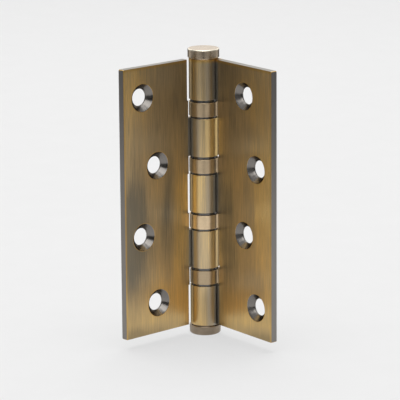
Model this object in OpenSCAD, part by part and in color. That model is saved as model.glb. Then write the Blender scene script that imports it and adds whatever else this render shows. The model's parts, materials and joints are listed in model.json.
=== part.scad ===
// Ball-bearing butt hinge: two leaves, five knuckles, a fixed pin and four thrust bearings.
// The origin is on the back of the frame leaf, at the middle of its screw holes. +Z runs up the pin,
// +X along the frame leaf to its outer edge, and +Y out of its back, into the door frame.

/* [Leaves] */
// Height of both leaves
leaf_height = 102; // [90:1:130]
// Width of one leaf, from the pin's axis to its outer edge
leaf_width = 38; // [36:0.5:60]
// Thickness of the plate
leaf_thick = 2.5; // [2:0.1:2.8]
// Gap between the leaves when the hinge is closed
closed_gap = 3.2; // [2:0.1:4]
// Angle between the leaves as modelled
open_angle = 85.4; // [0:0.1:270]
// Radius of the outer corners
corner_r = 0.6; // [0.1:0.1:6]

/* [Barrel] */
// Diameter of the knuckles
knuckle_dia = 11; // [10:0.1:12]
// Length of each of the three middle knuckles
knuckle_length = 14.4; // [10:0.1:15]
// Diameter of the pin
pin_dia = 6; // [5:0.1:6]
// Radial clearance of the pin in the door leaf's knuckles
pin_clearance = 0.05; // [0.01:0.01:0.1]
// Space between a knuckle and the edge of the notch around it
notch_clearance = 1.3; // [1:0.1:3]
// Space between a bearing sleeve and the leaves' edges beside it
shoulder_clearance = 0.7; // [0.5:0.1:1]
// Width of the seam where a rolled knuckle meets its own leaf
seam_width = 0.1; // [0.05:0.05:0.5]
// Radius of the fillet between a knuckle and the back of its leaf
back_fillet = 3; // [1:0.5:4]

/* [Screw holes] */
// Diameter of the screw holes
hole_dia = 6.4; // [4:0.1:7]
// Diameter of the countersinks at the leaf's face
sink_dia = 10.4; // [8:0.1:11]
// Included angle of the countersinks
sink_angle = 90; // [82:1:100]
// Distance from the pin's axis to the inner row of holes
inner_row = 21.8; // [18:0.1:25]
// Distance from the pin's axis to the outer row of holes
outer_row = 28.8; // [26:0.1:31]
// Height between the first hole and the last
outer_span = 79; // [60:0.5:90]
// Height between the two middle holes
inner_span = 26.2; // [15:0.1:40]

/* [Bearings] */
// Height of the slot between two knuckles
slot_height = 7.1; // [6.5:0.1:8]
// Diameter of the bearing sleeve
sleeve_dia = 11.1; // [11:0.1:12.5]
// Height of the bearing sleeve
sleeve_height = 5.3; // [5:0.1:5.6]
// Gap below the bearing sleeve
lower_gap = 0.8; // [0.5:0.1:1]
// Diameter of one ball
ball_dia = 1.5; // [1.2:0.05:1.6]
// Number of balls in one bearing
ball_count = 12; // [8:1:13]

/* [Tips] */
// Diameter of the tips
tip_dia = 11.8; // [11:0.1:13]
// Height of a tip above the end of the barrel
tip_height = 3.8; // [3:0.1:5]
// Length of the spigot that is pressed into the barrel
spigot_length = 5; // [3:0.5:8]
// Bevel around the top of the top tip
top_bevel = 0.25; // [0.2:0.05:1]
// Radius around the foot of the bottom tip
bottom_round = 0.8; // [0.5:0.1:2]

/* [Hidden] */
$fn = 96;
cut = 1; // how far a cutting shape runs past what it cuts
bearing_numbers = [1, 2, 3, 4]; // from the top down
bearing_pieces = ["sleeve", "upper_race", "lower_race", "cage", "balls"];

function bearing_node(number, piece) = str("bearing_", number, "_", piece);

// Barrel, with the knuckles counted from the middle one
knuckle_r = knuckle_dia / 2;
pin_r = pin_dia / 2;
half_height = leaf_height / 2;
knuckle_pitch = knuckle_length + slot_height;
end_knuckle_z = knuckle_length / 2 + knuckle_pitch + slot_height; // where the end knuckles start
frame_knuckles = [-2, 0, 2];
door_knuckles = [-1, 1];

function knuckle_bottom(place) = place == 2 ? end_knuckle_z
    : place == -2 ? -half_height
    : place * knuckle_pitch - knuckle_length / 2;
function knuckle_top(place) = -knuckle_bottom(-place);

// Section of a leaf across the pin: x runs out along the leaf, y from its face to its back
face_y = closed_gap / 2;
back_y = face_y + leaf_thick;
notch_x = knuckle_r + notch_clearance;
shoulder_x = min(notch_x, sleeve_dia / 2 + shoulder_clearance); // where a leaf's edge stands beside a sleeve
shoulder_gap = 0.3; // height left between a shoulder and the notch for the other leaf's knuckle
shoulder_reach = slot_height - shoulder_gap;
fillet_bite = 0.03; // how far the fillet's circle cuts into the knuckle's, so that they cross cleanly
fillet_y = back_y + back_fillet;
fillet_x = sqrt(pow(knuckle_r + back_fillet - fillet_bite, 2) - pow(fillet_y, 2));
seam_y = face_y - seam_width;
seam_x = sqrt(pow(knuckle_r, 2) - pow(seam_y, 2));
seam_mouth = 0.35; // how far the corner of the rolled end is broken

// Screw holes, each as its distance from the pin and its height
frame_holes = [
    [inner_row, outer_span / 2],
    [outer_row, inner_span / 2],
    [inner_row, -inner_span / 2],
    [outer_row, -outer_span / 2]
];
door_holes = [for (hole = frame_holes) [hole[0], -hole[1]]];
sink_depth = (sink_dia - hole_dia) / 2 / tan(sink_angle / 2);

// Bearings, with heights counted from the foot of the slot
sleeve_r = sleeve_dia / 2;
sleeve_wall = 0.4;
sleeve_top = lower_gap + sleeve_height;
race_r = sleeve_r - sleeve_wall;
race_clearance = 0.1; // around the pin, and between the upper race and the sleeve
race_bore_r = pin_r + race_clearance;
race_drop = 0.15; // how far the upper race's top lies below the sleeve's edge
hub_r = 5;
ball_r = ball_dia / 2;
ball_z = lower_gap + sleeve_height / 2;
ball_ring_r = (race_bore_r + race_r) / 2;
ball_gap = 1; // between the two races
groove_r = ball_r + 0.05;
cage_height = 0.7;
cage_margin = 0.15; // between the cage and the pin's or the sleeve's side of the races
pocket_r = ball_r + 0.04;

// Pin and tips
tip_r = tip_dia / 2;
neck_r = knuckle_r - 0.35;
neck_height = 0.4;
edge = 0.15; // small bevel on the turned pieces
pin_half = half_height - spigot_length - 0.5;

// Moves what is drawn around the pin's axis into the part's own frame
module from_pin() {
    translate([-(inner_row + outer_row) / 2, -back_y, 0])
        children();
}

// Turns a leaf drawn like the frame leaf into the door leaf's place
module swung() {
    rotate([0, 0, -open_angle])
        mirror([0, 1, 0])
            children();
}

// Section through a leaf and one of its own knuckles, without the bore
module rolled_section() {
    difference() {
        union() {
            circle(knuckle_r);
            translate([0, face_y])
                square([notch_x + cut, leaf_thick]);
            difference() {
                polygon([
                    [0, back_y - leaf_thick / 2],
                    [fillet_x, back_y - leaf_thick / 2],
                    [fillet_x, fillet_y],
                    [fillet_x, fillet_y] / 2
                ]);
                translate([fillet_x, fillet_y])
                    circle(back_fillet);
            }
        }
        translate([0, seam_y])
            square([knuckle_r + cut, seam_width]);
        polygon([
            [seam_x - seam_mouth, seam_y],
            [seam_x, seam_y - seam_mouth],
            [seam_x + cut, seam_y - seam_mouth - cut],
            [seam_x + cut, seam_y + seam_width / 2],
            [seam_x - seam_mouth, seam_y + seam_width / 2]
        ]);
    }
}

// The flat plate outside the notches, seen from its face, with shoulders beside the bearings
module plate_outline(places) {
    straight = leaf_height - 2 * corner_r;
    translate([notch_x, -half_height])
        square([leaf_width - corner_r - notch_x, leaf_height]);
    translate([leaf_width - 2 * corner_r, -straight / 2])
        square([2 * corner_r, straight]);
    for (end = [-1, 1])
        translate([leaf_width - corner_r, end * straight / 2])
            circle(corner_r);
    for (place = places) {
        low = max(knuckle_bottom(place) - shoulder_reach, -half_height);
        high = min(knuckle_top(place) + shoulder_reach, half_height);
        translate([shoulder_x, low])
            square([notch_x + cut - shoulder_x, high - low]);
    }
}

module countersunk_hole() {
    rotate([-90, 0, 0]) {
        cylinder(h = back_y + cut, r = hole_dia / 2);
        translate([0, 0, face_y])
            cylinder(h = sink_depth, r1 = sink_dia / 2, r2 = hole_dia / 2);
    }
}

// A leaf with its face towards -Y: a flat plate with knuckles rolled out of its edge
module leaf(places, holes, bore_r) {
    difference() {
        union() {
            translate([0, back_y, 0])
                rotate([90, 0, 0])
                    linear_extrude(leaf_thick)
                        plate_outline(places);
            for (place = places)
                translate([0, 0, knuckle_bottom(place)])
                    linear_extrude(knuckle_top(place) - knuckle_bottom(place))
                        rolled_section();
        }
        translate([0, 0, -half_height - cut])
            cylinder(h = leaf_height + 2 * cut, r = bore_r);
        for (hole = holes)
            translate([hole[0], 0, hole[1]])
                countersunk_hole();
    }
}

module frame_leaf() {
    color("#8c7449")
        from_pin()
            leaf(frame_knuckles, frame_holes, pin_r);
}

module door_leaf() {
    color("#937a4d")
        from_pin()
            swung()
                leaf(door_knuckles, door_holes, pin_r + pin_clearance);
}

module hinge_pin() {
    color("#9a9690")
        from_pin()
            rotate_extrude()
                polygon([
                    [0, -pin_half],
                    [pin_r - edge, -pin_half],
                    [pin_r, -pin_half + edge],
                    [pin_r, pin_half - edge],
                    [pin_r - edge, pin_half],
                    [0, pin_half]
                ]);
}

// Half section of a tip that stands on the barrel's end, with a bevel around its outer end
module tip_section(bevel) {
    polygon([
        [0, -spigot_length],
        [pin_r - edge, -spigot_length],
        [pin_r, -spigot_length + edge],
        [pin_r, 0],
        [neck_r, 0],
        [neck_r, neck_height],
        [tip_r - edge, neck_height],
        [tip_r, neck_height + edge],
        [tip_r, tip_height - bevel],
        [tip_r - bevel, tip_height],
        [0, tip_height]
    ]);
}

module top_tip() {
    color("#8f806b")
        from_pin()
            translate([0, 0, half_height])
                rotate_extrude()
                    tip_section(top_bevel);
}

module bottom_tip() {
    color("#8f806b")
        from_pin()
            translate([0, 0, -half_height])
                mirror([0, 0, 1])
                    rotate_extrude() {
                        tip_section(bottom_round);
                        translate([tip_r - bottom_round, tip_height - bottom_round])
                            circle(bottom_round);
                    }
}

// Puts a bearing piece, drawn from the foot of its slot, into slot number 1 to 4
module in_slot(number) {
    from_pin()
        translate([0, 0, (2.5 - number) * knuckle_pitch - slot_height / 2])
            children();
}

module bearing_sleeve(number) {
    color("#b39a6c")
        in_slot(number)
            rotate_extrude()
                translate([race_r, lower_gap])
                    square([sleeve_wall, sleeve_height]);
}

module upper_race(number) {
    color("#b9b6b2")
        in_slot(number)
            rotate_extrude()
                difference() {
                    union() {
                        translate([race_bore_r, ball_z + ball_gap / 2])
                            square([
                                race_r - race_clearance - race_bore_r,
                                sleeve_top - race_drop - ball_z - ball_gap / 2
                            ]);
                        translate([race_bore_r, ball_z + ball_gap / 2])
                            square([hub_r - race_bore_r, slot_height - ball_z - ball_gap / 2]);
                    }
                    translate([ball_ring_r, ball_z])
                        circle(groove_r);
                }
}

module lower_race(number) {
    color("#b9b6b2")
        in_slot(number)
            rotate_extrude()
                difference() {
                    union() {
                        translate([race_bore_r, lower_gap])
                            square([race_r - race_bore_r, ball_z - ball_gap / 2 - lower_gap]);
                        translate([race_bore_r, 0])
                            square([hub_r - race_bore_r, ball_z - ball_gap / 2]);
                    }
                    translate([ball_ring_r, ball_z])
                        circle(groove_r);
                }
}

module around_ball_ring() {
    for (ball = [0 : ball_count - 1])
        rotate([0, 0, ball * 360 / ball_count])
            translate([ball_ring_r, 0, 0])
                children();
}

module ball_cage(number) {
    color("#a58b52")
        in_slot(number)
            translate([0, 0, ball_z - cage_height / 2])
                difference() {
                    cylinder(h = cage_height, r = race_r - cage_margin);
                    translate([0, 0, -cut])
                        cylinder(h = cage_height + 2 * cut, r = race_bore_r + cage_margin);
                    translate([0, 0, -cut])
                        around_ball_ring()
                            cylinder(h = cage_height + 2 * cut, r = pocket_r);
                }
}

module bearing_balls(number) {
    color("#d6d7d9")
        in_slot(number)
            translate([0, 0, ball_z])
                around_ball_ring()
                    sphere(ball_r);
}

frame_leaf();
door_leaf();
hinge_pin();
top_tip();
bottom_tip();
for (number = bearing_numbers) {
    bearing_sleeve(number);
    upper_race(number);
    lower_race(number);
    ball_cage(number);
    bearing_balls(number);
}
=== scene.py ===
import json
import math

import bmesh
import bpy
from mathutils import Matrix, Vector

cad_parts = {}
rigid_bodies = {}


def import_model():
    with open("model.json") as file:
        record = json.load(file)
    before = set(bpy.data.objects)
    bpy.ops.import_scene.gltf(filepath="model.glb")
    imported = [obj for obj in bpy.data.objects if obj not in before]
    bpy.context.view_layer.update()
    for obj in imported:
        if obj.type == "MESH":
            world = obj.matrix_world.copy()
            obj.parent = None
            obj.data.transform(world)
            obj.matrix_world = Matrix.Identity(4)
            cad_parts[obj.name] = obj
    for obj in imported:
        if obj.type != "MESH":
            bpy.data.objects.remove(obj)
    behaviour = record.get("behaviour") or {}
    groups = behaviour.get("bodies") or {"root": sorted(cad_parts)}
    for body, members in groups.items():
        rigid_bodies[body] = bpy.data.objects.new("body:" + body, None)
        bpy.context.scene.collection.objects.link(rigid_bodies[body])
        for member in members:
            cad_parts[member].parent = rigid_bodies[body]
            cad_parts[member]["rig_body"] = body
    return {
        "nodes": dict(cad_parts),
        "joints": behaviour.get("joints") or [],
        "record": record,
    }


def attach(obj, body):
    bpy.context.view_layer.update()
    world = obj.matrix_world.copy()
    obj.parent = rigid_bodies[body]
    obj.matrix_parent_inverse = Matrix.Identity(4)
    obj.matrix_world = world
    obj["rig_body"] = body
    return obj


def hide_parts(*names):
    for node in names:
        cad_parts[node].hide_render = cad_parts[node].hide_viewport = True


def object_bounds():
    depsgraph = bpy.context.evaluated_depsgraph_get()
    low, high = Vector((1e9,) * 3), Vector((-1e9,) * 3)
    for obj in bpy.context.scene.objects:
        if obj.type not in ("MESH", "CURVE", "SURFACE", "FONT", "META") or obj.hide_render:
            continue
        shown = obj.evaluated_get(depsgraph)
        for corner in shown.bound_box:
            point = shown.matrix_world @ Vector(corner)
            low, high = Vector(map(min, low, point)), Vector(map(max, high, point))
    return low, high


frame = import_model()
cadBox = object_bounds()                      # the CAD model's box, before any look is added
nodes = frame["nodes"]
record = frame["record"]
swing = next(joint for joint in frame["joints"] if joint["name"] == "leaf_swing")
mounts = {mount["name"]: mount for mount in record["mounts"]}
pinAxis = Vector(swing["pos_m"])
print("frame loaded:", len(nodes), "nodes")

mm = 0.001
soft = 0.1 * mm                           # how softly one finish gives way to the next at an edge
upward = Vector((0, 0, 1))


# Camera

frontView = {
    "azimuth": 52.45,                     # degrees round the hinge, 0 looks along +Y
    "elevation": 13.38,
    "roll": -0.42,
    "distance": 0.9594,
    "lens": 229.3,
    "sensor": 36,
    "clip": (0.01, 20),
    "target": Vector((-26.3, -5.4, -3.29)) * mm,
}


def aimCamera(view):
    turn, rise, roll = (math.radians(view[name]) for name in ("azimuth", "elevation", "roll"))
    back = Vector((math.sin(turn) * math.cos(rise), -math.cos(turn) * math.cos(rise), math.sin(rise)))
    right = upward.cross(back).normalized()
    up = back.cross(right)
    tiltedRight = right * math.cos(roll) + up * math.sin(roll)
    tiltedUp = up * math.cos(roll) - right * math.sin(roll)
    data = bpy.data.cameras.new("camera")
    data.lens = view["lens"]
    data.sensor_width = view["sensor"]
    data.clip_start, data.clip_end = view["clip"]
    camera = bpy.data.objects.new("camera", data)
    bpy.context.scene.collection.objects.link(camera)
    axes = Matrix((tiltedRight, tiltedUp, back)).transposed().to_4x4()
    camera.matrix_world = Matrix.Translation(view["target"] + back * view["distance"]) @ axes
    bpy.context.scene.camera = camera
    return right, Vector((-back.x, -back.y, 0)).normalized()


viewRight, viewAhead = aimCamera(frontView)
print("camera placed")


# Shader wiring

class Value:                              # a node's output; arithmetic on it adds Math nodes
    def __init__(self, graph, socket):
        self.graph = graph
        self.socket = socket

    def math(self, operation, *others, clamp=False):
        settings = {"operation": operation, "use_clamp": clamp}
        return self.graph.add("ShaderNodeMath", settings, dict(enumerate((self,) + others)))

    def reflected(self, operation, other):
        return self.graph.add("ShaderNodeMath", {"operation": operation}, {0: other, 1: self})

    def __add__(self, other):
        return self.math("ADD", other)

    def __radd__(self, other):
        return self.reflected("ADD", other)

    def __sub__(self, other):
        return self.math("SUBTRACT", other)

    def __rsub__(self, other):
        return self.reflected("SUBTRACT", other)

    def __mul__(self, other):
        return self.math("MULTIPLY", other)

    def __rmul__(self, other):
        return self.reflected("MULTIPLY", other)

    def __truediv__(self, other):
        return self.math("DIVIDE", other)

    def __abs__(self):
        return self.math("ABSOLUTE")

    def clamped(self):
        return self.math("ADD", 0, clamp=True)

    def step(self, low, high):            # 0 below low, 1 above high, smooth between; high may be the lower
        if high < low:
            return 1 - self.step(high, low)
        settings = {"interpolation_type": "SMOOTHSTEP"}
        inputs = {"Value": self, "From Min": low, "From Max": high}
        return self.graph.add("ShaderNodeMapRange", settings, inputs)


class Graph:
    def __init__(self, tree):
        self.tree = tree
        tree.nodes.clear()

    def add(self, kind, settings=None, inputs=None, output=0):
        node = self.tree.nodes.new(kind)
        for name, setting in (settings or {}).items():
            setattr(node, name, setting)
        for name, value in (inputs or {}).items():
            socket = node.inputs[name]
            if isinstance(value, Value):
                self.tree.links.new(value.socket, socket)
            elif hasattr(socket.default_value, "__len__") and len(socket.default_value) == 4:
                socket.default_value = tuple(value) + (1,) * (4 - len(value))
            else:
                socket.default_value = value
        return Value(self, node.outputs[output]) if len(node.outputs) else None

    def mix(self, factor, first, second, blend="MIX"):
        settings = {"data_type": "RGBA", "blend_type": blend}
        return self.add("ShaderNodeMix", settings, {0: factor, 6: first, 7: second}, 2)

    def brightened(self, colour, amount):
        return self.mix(1, colour, self.grey(amount), "MULTIPLY")

    def vectorMath(self, operation, first, second, output=0):
        return self.add("ShaderNodeVectorMath", {"operation": operation}, {0: first, 1: second}, output)

    def along(self, vector, direction):   # the part of a vector along a direction, as a number
        return self.vectorMath("DOT_PRODUCT", vector, tuple(direction), 1)

    def length(self, vector):
        return self.vectorMath("LENGTH", vector, (0, 0, 0), 1)

    def scaled(self, vector, scale):
        return self.vectorMath("MULTIPLY", vector, tuple(scale))

    def joined(self, x, y, z):
        return self.add("ShaderNodeCombineXYZ", None, {0: x, 1: y, 2: z})

    def grey(self, level):
        return self.joined(level, level, level)

    def noise(self, vector, detail, roughness):
        return self.add("ShaderNodeTexNoise", None, {
            "Vector": vector, "Scale": 1, "Detail": detail, "Roughness": roughness})

    def place(self):                      # place in the hinge's own frame, in metres
        return self.add("ShaderNodeTexCoord", None, None, "Object")

    def fromPin(self):
        return self.vectorMath("SUBTRACT", self.place(), tuple(pinAxis))

    def rayIs(self, kind):
        return self.add("ShaderNodeLightPath", None, None, "Is " + kind + " Ray")

    def metal(self, colour, roughness, height, bumpDepth, constants):
        bump = self.add("ShaderNodeBump", None, {"Height": height, "Distance": bumpDepth, "Strength": 1})
        sockets = {"Base Color": colour, "Roughness": roughness, "Metallic": 1, "Normal": bump}
        sockets.update(constants)
        surface = self.add("ShaderNodeBsdfPrincipled", None, sockets)
        self.add("ShaderNodeOutputMaterial", None, {"Surface": surface})


def newMaterial(name):
    material = bpy.data.materials.new(name)
    material.use_nodes = True
    return material, Graph(material.node_tree)


# Leaves: dark antique brass, brushed up and down, with worn edges and bare countersinks

leafFinish = {
    "worn": (0.87, 0.615, 0.26),          # brass where the brush cut through
    "brown": (0.53, 0.41, 0.245),         # the usual brown-gold
    "dark": (0.25, 0.225, 0.175),         # patina left in the brush's grain
    "gold": (0.66, 0.42, 0.13),           # the bright line worn along edges
    "gunmetalShade": (0.32, 0.31, 0.285),      # the band beside each knuckle's own leaf, partly patina, partly painted shade
    "smokeShade": (0.42, 0.35, 0.25),          # the half-dark zone next to it, painted shade as well
    "edge": (0.25, 0.235, 0.22),          # the plate's sheared outside edge
    "end": (0.54, 0.54, 0.52),            # its cut ends, above and below
    "steel": (0.22, 0.205, 0.19),         # bare metal in the countersinks
    "grazing": (0.45, 0.42, 0.38),        # how far the metal brightens where it is seen edge-on
    "fineGrain": (6800, 6800, 120),       # brush marks to a metre, across and along the brush
    "grain": (2300, 2300, 60),
    "bands": (420, 420, 40),
    "clouds": (85, 85, 34),
    "fineDepth": 0.7,                     # how strongly each of the four shows in the patina
    "grainDepth": 0.45,
    "bandDepth": 0.25,
    "cloudDepth": 0.7,
    "brownWear": (0.0, 0.55),             # the wear at which brown starts to show and takes over
    "brassWear": (0.45, 1.0),             # the same for bright brass
    "footWearAndSheen": 0.3,                      # how much lighter towards the foot: partly wear, partly painted reflection of the lit paper
    "footGoldAndSheen": 0.35,                     # how golden the foot is, partly painted reflection of the lit paper, and between which heights that grows
    "footReach": (-28 * mm, -46 * mm),
    "smokeShadeTurn": (-36.2, -21.3),          # where the knuckle's bands start, in degrees round the pin from the
    "gunmetalShadeTurn": (-6, 0.9),            # leaf's own direction, with the face's side negative
    "bandBehind": (51.6, 34.4),           # where both fade out behind
    "cloudWobble": 0.25,                  # how far clouds and streaks push the bands about, in radians
    "streakWobble": 0.12,
    "smokeShadeDepth": (0.55, 0.5),            # how strong each band is, and how much more on the grain
    "gunmetalShadeDepth": (0.7, 0.4),
    "giltDepth": 0.35,
    "giltGrain": (0.5, 0.4),              # how far fine and coarse grain break up the gilt lines
    "lineDepth": (0.3, 0.15),             # how far they show as light and dark lines
    "bandReach": 6.5 * mm,                # how far the bands run onto the leaf
    "barrelShine": 0.2,                   # how much brighter the upper knuckles are
    "shineFrom": (-42 * mm, -30 * mm),
    "endWear": (1.6 * mm, 0.1 * mm),      # where the worn line starts and is full, counted from an end,
    "outsideWear": (1.2 * mm, 0.1 * mm),  # from the outside edge,
    "rimWear": (0.4 * mm, 0),             # and from a hole's rim
    "rimGilt": 0.8,
    "roughness": 0.36,
    "grainRoughness": 0.16,
    "wornPolish": 0.08,                   # how much smoother the worn brass is
    "sinkRoughness": 0.13,
    "turningRoughness": 0.14,
    "turning": 9000,                      # tool marks to a metre in the countersinks
    "turningShades": (0.6, 1.4),          # how dark and how light they are
    "bump": 0.012 * mm,
    "brushing": 0.5,                      # how far highlights are drawn out across the brush
    "height": 102 * mm,
    "width": 38 * mm,
    "back": 4.1 * mm,                     # the plate's back, counted from the pin's axis
    "rows": (21.8 * mm, 28.8 * mm),
    "spans": (79 * mm, 26.2 * mm),
    "sink": 5.2 * mm,                     # radius of a countersink at the face
    "hole": 3.2 * mm,                     # radius of a screw hole at the back
    # patches: out from the pin, height, half width and half height in mm, and how much lighter
    "doorPatches": (
        (36, 44, 16, 26, 0.45), (34, -14, 12, 40, -0.6), (11, -8, 6, 40, 0.35), (17, -6, 5, 36, -0.25),
        (24, -48, 22, 12, -0.1), (0, 30, 7, 70, 0.4), (36, -52, 30, 7, -0.7)),
    # in the frame's list, the patch 3.5 mm to the far side of the pin, running the full height, is painted
    # shade down the knuckles' far side
    "framePatinaAndShade": (
        (28, 44, 20, 22, 0.4), (34, 4, 12, 44, 0.45), (12, -14, 10, 34, -0.45), (22, -24, 10, 20, -0.2),
        (22, -48, 24, 14, 0.08), (0, 30, 7, 70, 0.4), (5.5, -44, 2.5, 14, -0.6), (-3.5, 0, 4.5, 90, -0.55),
        (36, -52, 30, 7, -0.7)),
}


def holeDistance(graph, out, up, flipped):
    inner, outer = leafFinish["rows"]
    tall, short = (span / 2 for span in leafFinish["spans"])
    side = -1 if flipped else 1
    nearest = None
    for row, height in ((inner, tall), (outer, short), (inner, -short), (outer, -tall)):
        distance = graph.length(graph.joined(out - row, up - side * height, 0))
        nearest = distance if nearest is None else nearest.math("MINIMUM", distance)
    return nearest


def patinaAndShadePatches(graph, out, up, patches):
    total = 0
    for place, height, wide, tall, amount in patches:
        flat = graph.joined((out - place * mm) / (wide * mm), (up - height * mm) / (tall * mm), 0)
        total = total + graph.length(flat).step(1.0, 0.1) * amount
    return total


def brushedLeaf(name, along, across, flipped, patches):
    look = leafFinish
    material, graph = newMaterial(name)
    place = graph.fromPin()
    out, depth, up = (graph.along(place, direction) for direction in (along, across, upward))
    toHole = holeDistance(graph, out, up, flipped)
    toEnd = look["height"] / 2 - abs(up)
    toOutside = look["width"] - out

    fineGrain = graph.noise(graph.scaled(place, look["fineGrain"]), 3, 0.6)
    grain = graph.noise(graph.scaled(place, look["grain"]), 3, 0.6)
    bands = graph.noise(graph.scaled(place, look["bands"]), 3, 0.55)
    clouds = graph.noise(graph.scaled(place, look["clouds"]), 3, 0.5)

    # how far the patina is worn through, with painted reflection lightening it towards the foot and the
    # frame's painted shade patch
    streaks = (grain - 0.5) * look["grainDepth"] + (fineGrain - 0.5) * look["fineDepth"]
    streaks = streaks + (bands - 0.5) * look["bandDepth"] + (clouds - 0.5) * look["cloudDepth"]
    wearAndSheenToFoot = up / look["height"] * look["footWearAndSheen"]
    worn = (0.5 + streaks - wearAndSheenToFoot + patinaAndShadePatches(graph, out, up, patches)).clamped()
    colour = graph.mix(worn.step(*look["brownWear"]), look["dark"], look["brown"])
    colour = graph.mix(worn.step(*look["brassWear"]), colour, look["worn"])
    # more golden towards the foot: partly wear, partly painted reflection of the lit paper
    colour = graph.mix(up.step(*look["footReach"]) * look["footGoldAndSheen"], colour, look["gold"])

    # painted shade round the knuckles: dark bands where each knuckle turns into its own leaf, partly patina
    onKnuckle = out.step(look["bandReach"] + soft, look["bandReach"] - soft)
    wobble = (clouds - 0.5) * look["cloudWobble"] + (bands - 0.5) * look["streakWobble"]
    turn = depth.math("ARCTAN2", out) + wobble
    behind = turn.step(*map(math.radians, look["bandBehind"]))
    for band in ("smokeShade", "gunmetalShade"):
        amount = turn.step(*map(math.radians, look[band + "Turn"])) * behind * onKnuckle
        base, onGrain = look[band + "Depth"]
        colour = graph.mix(amount * (base + grain * onGrain), colour, look[band])

    # gilt lines along the face's edges and round the holes, and the plate's cut edges
    edgeWear = toEnd.step(*look["endWear"]) * up.step(-1 * mm, 1 * mm) + toOutside.step(*look["outsideWear"])
    onFace = depth.step(look["back"] - 0.5 * mm, look["back"] - 0.9 * mm)
    rimRadius = look["sink"] - (1 - onFace) * (look["sink"] - look["hole"])
    halo = (toHole - rimRadius).step(*look["rimWear"]) * look["rimGilt"]
    onFine, onCoarse = look["giltGrain"]
    broken = look["giltDepth"] + fineGrain * onFine + grain * onCoarse
    colour = graph.mix(((edgeWear + halo) * broken).clamped(), colour, look["gold"])
    colour = graph.mix(toEnd.step(soft, soft * 0.3) * (1 - onKnuckle), colour, look["end"])
    colour = graph.mix(toOutside.step(soft * 1.2, soft * 0.4), colour, look["edge"])
    onFine, onCoarse = look["lineDepth"]
    lines = 1 + (fineGrain - 0.5) * onFine + (grain - 0.5) * onCoarse
    lines = lines + onKnuckle * up.step(*look["shineFrom"]) * look["barrelShine"]
    colour = graph.brightened(colour, lines)
    roughness = look["roughness"] + (fineGrain - 0.5) * look["grainRoughness"] - worn * look["wornPolish"]

    # bare turned steel in the countersinks
    inSink = toHole.step(look["sink"] + 0.02 * mm, look["sink"] - 0.05 * mm)
    inSink = inSink * depth.step(look["back"] - 0.02 * mm, look["back"] - 0.06 * mm)
    rings = graph.noise(graph.joined(toHole * look["turning"], depth * look["turning"], 0), 3, 0.6)
    darkSteel, lightSteel = (tuple(Vector(look["steel"]) * shade) for shade in look["turningShades"])
    colour = graph.mix(inSink, colour, graph.mix(rings, darkSteel, lightSteel))
    turnedRoughness = look["sinkRoughness"] + rings * look["turningRoughness"]
    roughness = roughness + (turnedRoughness - roughness) * inSink
    height = (fineGrain * 0.5 + grain * 0.5) * (1 - inSink) + rings * inSink * 0.5
    constants = {"Anisotropic": look["brushing"], "Specular Tint": look["grazing"]}
    graph.metal(colour, roughness, height, look["bump"], constants)
    return material


# Softened edges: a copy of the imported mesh, joined up, with its sharp edges rounded

rounding = {
    "leaf": 0.1 * mm,
    "sleeve": 0.14 * mm,
    "tip": 0.1 * mm,
    "weld": 1e-6,                         # vertices closer than this are one
    "flat": math.radians(0.4),            # faces this nearly level are joined
    "sharp": math.radians(25),            # edges sharper than this are rounded
    "crease": math.radians(40),           # edges sharper than this stay creased in the shading
    "segments": 3,
}


def roundedPiece(node, name, slot, material):
    source = nodes[node]
    mesh = bmesh.new()
    mesh.from_mesh(source.data)
    bmesh.ops.remove_doubles(mesh, verts=mesh.verts, dist=rounding["weld"])
    bmesh.ops.dissolve_limit(mesh, angle_limit=rounding["flat"], verts=mesh.verts, edges=mesh.edges)
    sharp = [edge for edge in mesh.edges if edge.is_manifold and edge.calc_face_angle() > rounding["sharp"]]
    bmesh.ops.bevel(mesh, geom=sharp, offset=rounding[slot], offset_type="OFFSET", affect="EDGES",
                    segments=rounding["segments"], profile=0.5, clamp_overlap=True,
                    miter_outer="SHARP", miter_inner="SHARP")
    bmesh.ops.triangulate(mesh, faces=[face for face in mesh.faces if len(face.verts) > 4])
    data = bpy.data.meshes.new(name)
    mesh.to_mesh(data)
    mesh.free()
    for attribute in ("custom_normal", "sharp_edge", "sharp_face"):
        if attribute in data.attributes:
            data.attributes.remove(data.attributes[attribute])
    data.shade_smooth()
    data.set_sharp_from_angle(angle=rounding["crease"])
    data.materials.clear()
    data.materials.append(material)
    piece = bpy.data.objects.new(name, data)
    bpy.context.scene.collection.objects.link(piece)
    weighted = piece.modifiers.new("normals", "WEIGHTED_NORMAL")
    weighted.keep_sharp = True
    weighted.weight = 100
    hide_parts(node)
    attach(piece, source["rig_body"])


frameAlong, frameAcross = Vector((1, 0, 0)), Vector(mounts["frame_leaf_back"]["axis"])
doorAcross = Vector(mounts["door_leaf_back"]["axis"]).normalized()
doorAlong = Vector((-doorAcross.y, doorAcross.x, 0))
frameBrass = brushedLeaf("frameLeafBrass", frameAlong, frameAcross, False, leafFinish["framePatinaAndShade"])
doorBrass = brushedLeaf("doorLeafBrass", doorAlong, doorAcross, True, leafFinish["doorPatches"])
for node, material in (("frame_leaf", frameBrass), ("door_leaf", doorBrass)):
    roundedPiece(node, node + "_plate", "leaf", material)
print("leaves done")


# Turned pieces: tips, sleeves, pin, races, cages and balls

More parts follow.
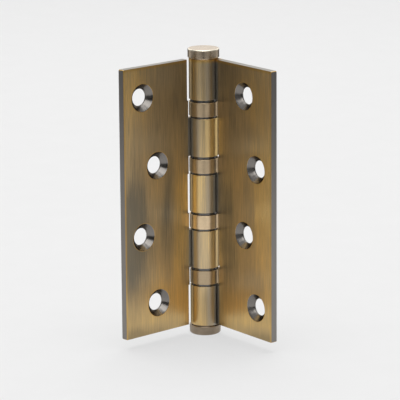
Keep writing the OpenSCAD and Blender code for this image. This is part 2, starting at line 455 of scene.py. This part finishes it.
turnedFinishes = {
    "tip": {"light": (0.7, 0.57, 0.42), "dark": (0.42, 0.34, 0.25), "roughness": 0.28,
            "rimHighlight": (0.9, 0.82, 0.67), "rimHighlightFrom": (5.4 * mm, 54.2 * mm)},
    "foot": {"light": (0.37, 0.295, 0.215), "dark": (0.21, 0.17, 0.125), "roughness": 0.32},
    "sleeve": {"light": (0.79, 0.61, 0.395), "dark": (0.53, 0.405, 0.26), "roughness": 0.3,
               "grazing": (0.45, 0.42, 0.38)},
    "pin": {"light": (0.6, 0.58, 0.55), "dark": (0.4, 0.38, 0.36), "roughness": 0.2},
    # painted shade: the races are painted dark so the gaps between sleeves and knuckles read dark
    "race": {"light": (0.2, 0.19, 0.18), "dark": (0.1, 0.095, 0.09), "roughness": 0.26,
             "grazing": (0.4, 0.4, 0.4)},
    "cage": {"light": (0.66, 0.5, 0.24), "dark": (0.45, 0.33, 0.15), "roughness": 0.3},
    "ball": {"light": (0.75, 0.75, 0.76), "dark": (0.6, 0.6, 0.61), "roughness": 0.08},
}
turnedMarks = {
    "rings": 7000,                        # marks to a metre, and how strongly they show
    "ringDepth": 0.9,
    "speckle": 2600,
    "speckleDepth": 0.6,
    "clouds": 300,
    "cloudDepth": 0.9,
    "roughness": 0.12,                    # how much the speckle roughens
    "bump": 0.008 * mm,
}
ownFinish = {"bottom_tip": "foot"}
ownShine = {"bearing_3_sleeve": 1.3, "bearing_4_sleeve": 0.76}     # the third sleeve is painted brighter, a painted highlight, and the fourth darker


def turnedMetal(name, look, shine=1):
    material, graph = newMaterial(name)
    place = graph.fromPin()
    radius = graph.length(graph.scaled(place, (1, 1, 0)))
    up = graph.along(place, upward)
    marks = turnedMarks
    rings = graph.noise(graph.joined(radius * marks["rings"], up * marks["rings"], 0), 3, 0.6)
    speckle = graph.noise(graph.scaled(place, (marks["speckle"],) * 3), 3, 0.6)
    clouds = graph.noise(graph.scaled(place, (marks["clouds"],) * 3), 2, 0.5)
    tone = 0.5 + (rings - 0.5) * marks["ringDepth"] + (speckle - 0.5) * marks["speckleDepth"]
    tone = (tone + (clouds - 0.5) * marks["cloudDepth"]).clamped()
    dark, light = (tuple(Vector(look[shade]) * shine) for shade in ("dark", "light"))
    colour = graph.mix(tone, dark, light)
    # painted highlight: a cream ring round the top tip's upper rim
    if "rimHighlight" in look:
        inward, height = look["rimHighlightFrom"]
        rimHighlight = radius.step(inward, inward + 3 * soft) * up.step(height, height + 3 * soft)
        colour = graph.mix(rimHighlight, colour, look["rimHighlight"])
    roughness = look["roughness"] + (speckle - 0.5) * marks["roughness"]
    constants = {"Specular Tint": look.get("grazing", (1, 1, 1))}
    graph.metal(colour, roughness, rings * 0.6 + speckle * 0.4, marks["bump"], constants)
    return material


turned = {finish: turnedMetal(finish + "Metal", look) for finish, look in turnedFinishes.items()}
for row in record["subparts"]:
    node, slot = row["node"], row["material_slot"]
    if slot not in turned:
        continue
    material = turned[ownFinish.get(node, slot)]
    if node in ownShine:
        material = turnedMetal(node + "Metal", turnedFinishes[slot], ownShine[node])
    if slot in rounding:
        roundedPiece(node, node + "_turned", slot, material)
    else:
        nodes[node].data.materials.clear()
        nodes[node].data.materials.append(material)
print("turned pieces done")


# Floor, world and lights

studio = {
    "floorSize": 6,
    "floor": 0.82,                        # how pale the paper is
    "fibres": 60,                         # to a metre, and how far they change its tone
    "fibreDepth": 0.03,
    "sweepLight": 0.09,                        # painted light: how much paler the paper gets towards the back
    "sweepLightReach": (0.2, 1.0),
    "glow": 0.2,                          # lifts the far paper to the background's level
    "glowReach": (0.9, 3.0),
    "background": 0.865,
    "fill": 0.74,                         # even light from all round
    "frontFill": 0.6,                     # how much more of it comes from the front than from behind
    "horizon": 0.25,                      # the room beyond the paper, as the metal sees it
    "rear": 1.3,                          # the bright wall behind, how far round it comes and where it starts
    "rearSpread": (0.1, 0.7),
    "rearRise": (0.06, 0.2),
    "top": 0.6,                           # the ceiling
    "topRise": (0.55, 0.85),
    "frontBox": 1.9,                      # the light above the viewer, how far it spreads and its direction
    "boxSpread": (0.86, 0.96),
    "boxHeight": 0.72,
    "boxForward": 0.69,
    "paperReach": (0.16, 0.62),           # where the lit paper starts to fade in front, and where it ends
    "farPaper": (0.22, 0.22, 0.22),
    "farSpread": (0.5, 0.2),
    "rearPaper": (0.1, 0.1, 0.1),         # painted reflection: the paper, as mirrored rays see it, darker behind
    "rearPaperSpread": (0.45, 0.75),
    "standColour": (0.02, 0.02, 0.02),    # painted reflection of a dark camera stand in front, on the paper as mirrored rays see it
    "standWidth": (0.2, 0.1),             # as a share of its distance
    "standSpread": (0.0, -0.5),
    "standFrom": (0.24, 0.34),
    "standTop": (0.36, 0.26),
    "standDepth": 0.95,
    "overhead": 5.4,
    "overheadSize": 1.2,
    "overheadPlace": (0.15, 1.0),         # how far behind the pin and how high it hangs
}


def layFloor():
    mesh = bmesh.new()
    bmesh.ops.create_grid(mesh, x_segments=1, y_segments=1, size=studio["floorSize"])
    data = bpy.data.meshes.new("floor")
    mesh.to_mesh(data)
    mesh.free()
    floor = bpy.data.objects.new("floor", data)
    floor.location = (pinAxis.x, pinAxis.y, cadBox[0].z)
    bpy.context.scene.collection.objects.link(floor)

    material, graph = newMaterial("floorPaper")
    place = graph.place()
    distance = graph.length(place)
    ahead = graph.along(place, viewAhead)
    heading = ahead / distance
    mirrored = graph.rayIs("Glossy")
    fibres = graph.noise(graph.scaled(place, (studio["fibres"],) * 3), 4, 0.6)
    colour = graph.grey(studio["floor"] * (1 + (fibres - 0.5) * studio["fibreDepth"]))
    # mirrored rays see painted reflections on the paper: darker far off, behind and where a camera stand
    # would be
    far = distance.step(*studio["paperReach"]) * heading.step(*studio["farSpread"])
    colour = graph.mix(far * mirrored, colour, studio["farPaper"])
    colour = graph.mix(heading.step(*studio["rearPaperSpread"]) * mirrored, colour, studio["rearPaper"])
    aside = abs(graph.along(place, viewRight) / distance)
    stand = aside.step(*studio["standWidth"]) * heading.step(*studio["standSpread"])
    stand = stand * distance.step(*studio["standFrom"])
    colour = graph.mix(stand * mirrored, colour, studio["standColour"])
    colour = graph.brightened(colour, 1 + ahead.step(*studio["sweepLightReach"]) * studio["sweepLight"])
    glow = distance.step(*studio["glowReach"]) * studio["glow"] * graph.rayIs("Camera")
    surface = graph.add("ShaderNodeBsdfPrincipled", None, {
        "Base Color": colour, "Roughness": 0.9, "Specular IOR Level": 0.1,
        "Emission Color": graph.grey(glow), "Emission Strength": 1})
    graph.add("ShaderNodeOutputMaterial", None, {"Surface": surface})
    data.materials.append(material)


def lightWorld():
    world = bpy.data.worlds.new("studio")
    bpy.context.scene.world = world
    world.use_nodes = True
    graph = Graph(world.node_tree)
    direction = graph.add("ShaderNodeTexCoord", None, None, "Generated")
    ahead = graph.along(direction, viewAhead)
    up = graph.along(direction, upward)

    # what the metal mirrors
    rear = ahead.step(*studio["rearSpread"]) * up.step(*studio["rearRise"])
    seen = studio["horizon"] + rear * (studio["rear"] - studio["horizon"])
    seen = seen + (studio["top"] - seen) * up.step(*studio["topRise"])
    aside = abs(graph.along(direction, viewRight))
    stand = aside.step(*studio["standWidth"]) * ahead.step(*studio["standSpread"])
    seen = seen * (1 - stand * up.step(*studio["standTop"]) * studio["standDepth"])
    boxAim = (upward * studio["boxHeight"] - viewAhead * studio["boxForward"]).normalized()
    seen = seen + graph.along(direction, boxAim).step(*studio["boxSpread"]) * studio["frontBox"]

    fill = studio["fill"] * (1 - ahead * studio["frontFill"])
    level = fill + (seen - fill) * graph.rayIs("Glossy")
    level = level + (studio["background"] - level) * graph.rayIs("Camera")
    backdrop = graph.add("ShaderNodeBackground", None, {"Color": (1, 1, 1), "Strength": level})
    graph.add("ShaderNodeOutputWorld", None, {"Surface": backdrop})


def hangSoftbox():
    behind, height = studio["overheadPlace"]
    data = bpy.data.lights.new("overhead", "AREA")
    data.shape = "RECTANGLE"
    data.size = data.size_y = studio["overheadSize"]
    data.energy = studio["overhead"]
    light = bpy.data.objects.new("overhead", data)
    light.location = pinAxis + viewAhead * behind + upward * height
    light.rotation_euler = (pinAxis - light.location).to_track_quat("-Z", "Y").to_euler()
    bpy.context.scene.collection.objects.link(light)


for piece in bpy.context.scene.objects:   # the paper stays neutral, shaded by the overhead box alone
    if piece.type == "MESH":
        piece.visible_diffuse = False

layFloor()
lightWorld()
hangSoftbox()
bpy.context.scene.view_settings.view_transform = "Standard"
print("studio done")
